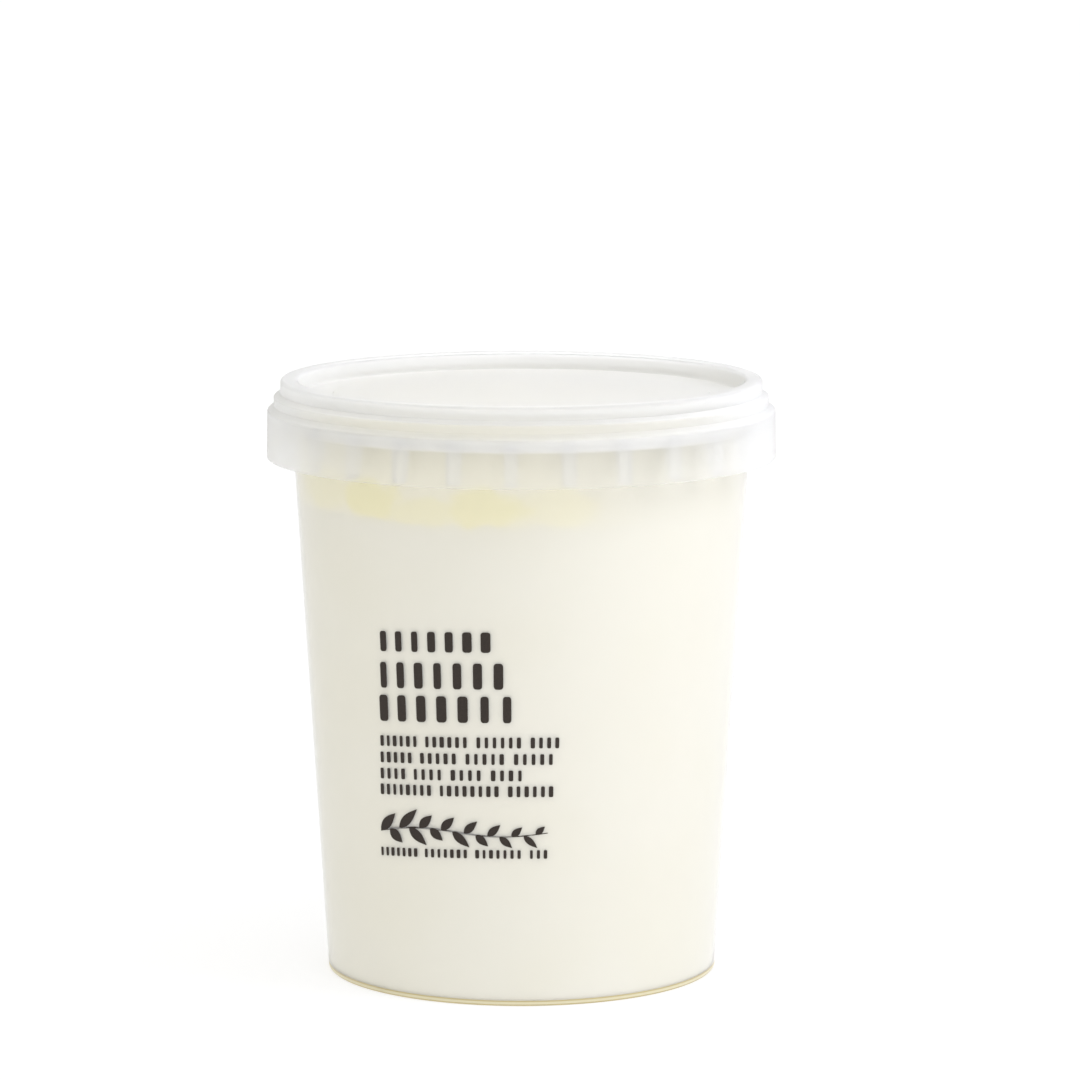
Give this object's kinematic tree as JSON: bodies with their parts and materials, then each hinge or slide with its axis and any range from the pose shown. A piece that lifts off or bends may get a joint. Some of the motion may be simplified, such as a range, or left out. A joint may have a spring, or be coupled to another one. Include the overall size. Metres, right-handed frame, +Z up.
{
  "type": "tub of yogurt",
  "caption": "Shut tub of natural yogurt: a clear tapered plastic tub with a frosted press-on lid, filled with white yogurt under a layer of yellow cream.",
  "frame": {"origin": "centre of the foot ring's underside, on the surface the tub stands on", "axes": "+Z up along the tub's axis, -Y out of the printed front, +X to the right of a viewer who faces the front"},
  "size_m": [0.1184, 0.1184, 0.1391],
  "materials": {
    "clear_plastic": "clear moulded polypropylene, glossy outside, a little milky",
    "frosted_plastic": "frosted translucent polypropylene, satin",
    "yogurt": "smooth set natural yogurt, off-white and faintly wet",
    "cream": "risen cream, pale yellow, blotchy towards its lower edge",
    "print_ink": "charcoal screen print"
  },
  "bodies": {
    "root": {"tub": "clear_plastic", "lid": "frosted_plastic", "yogurt": "yogurt", "cream_layer": "cream"}
  },
  "joints": []
}
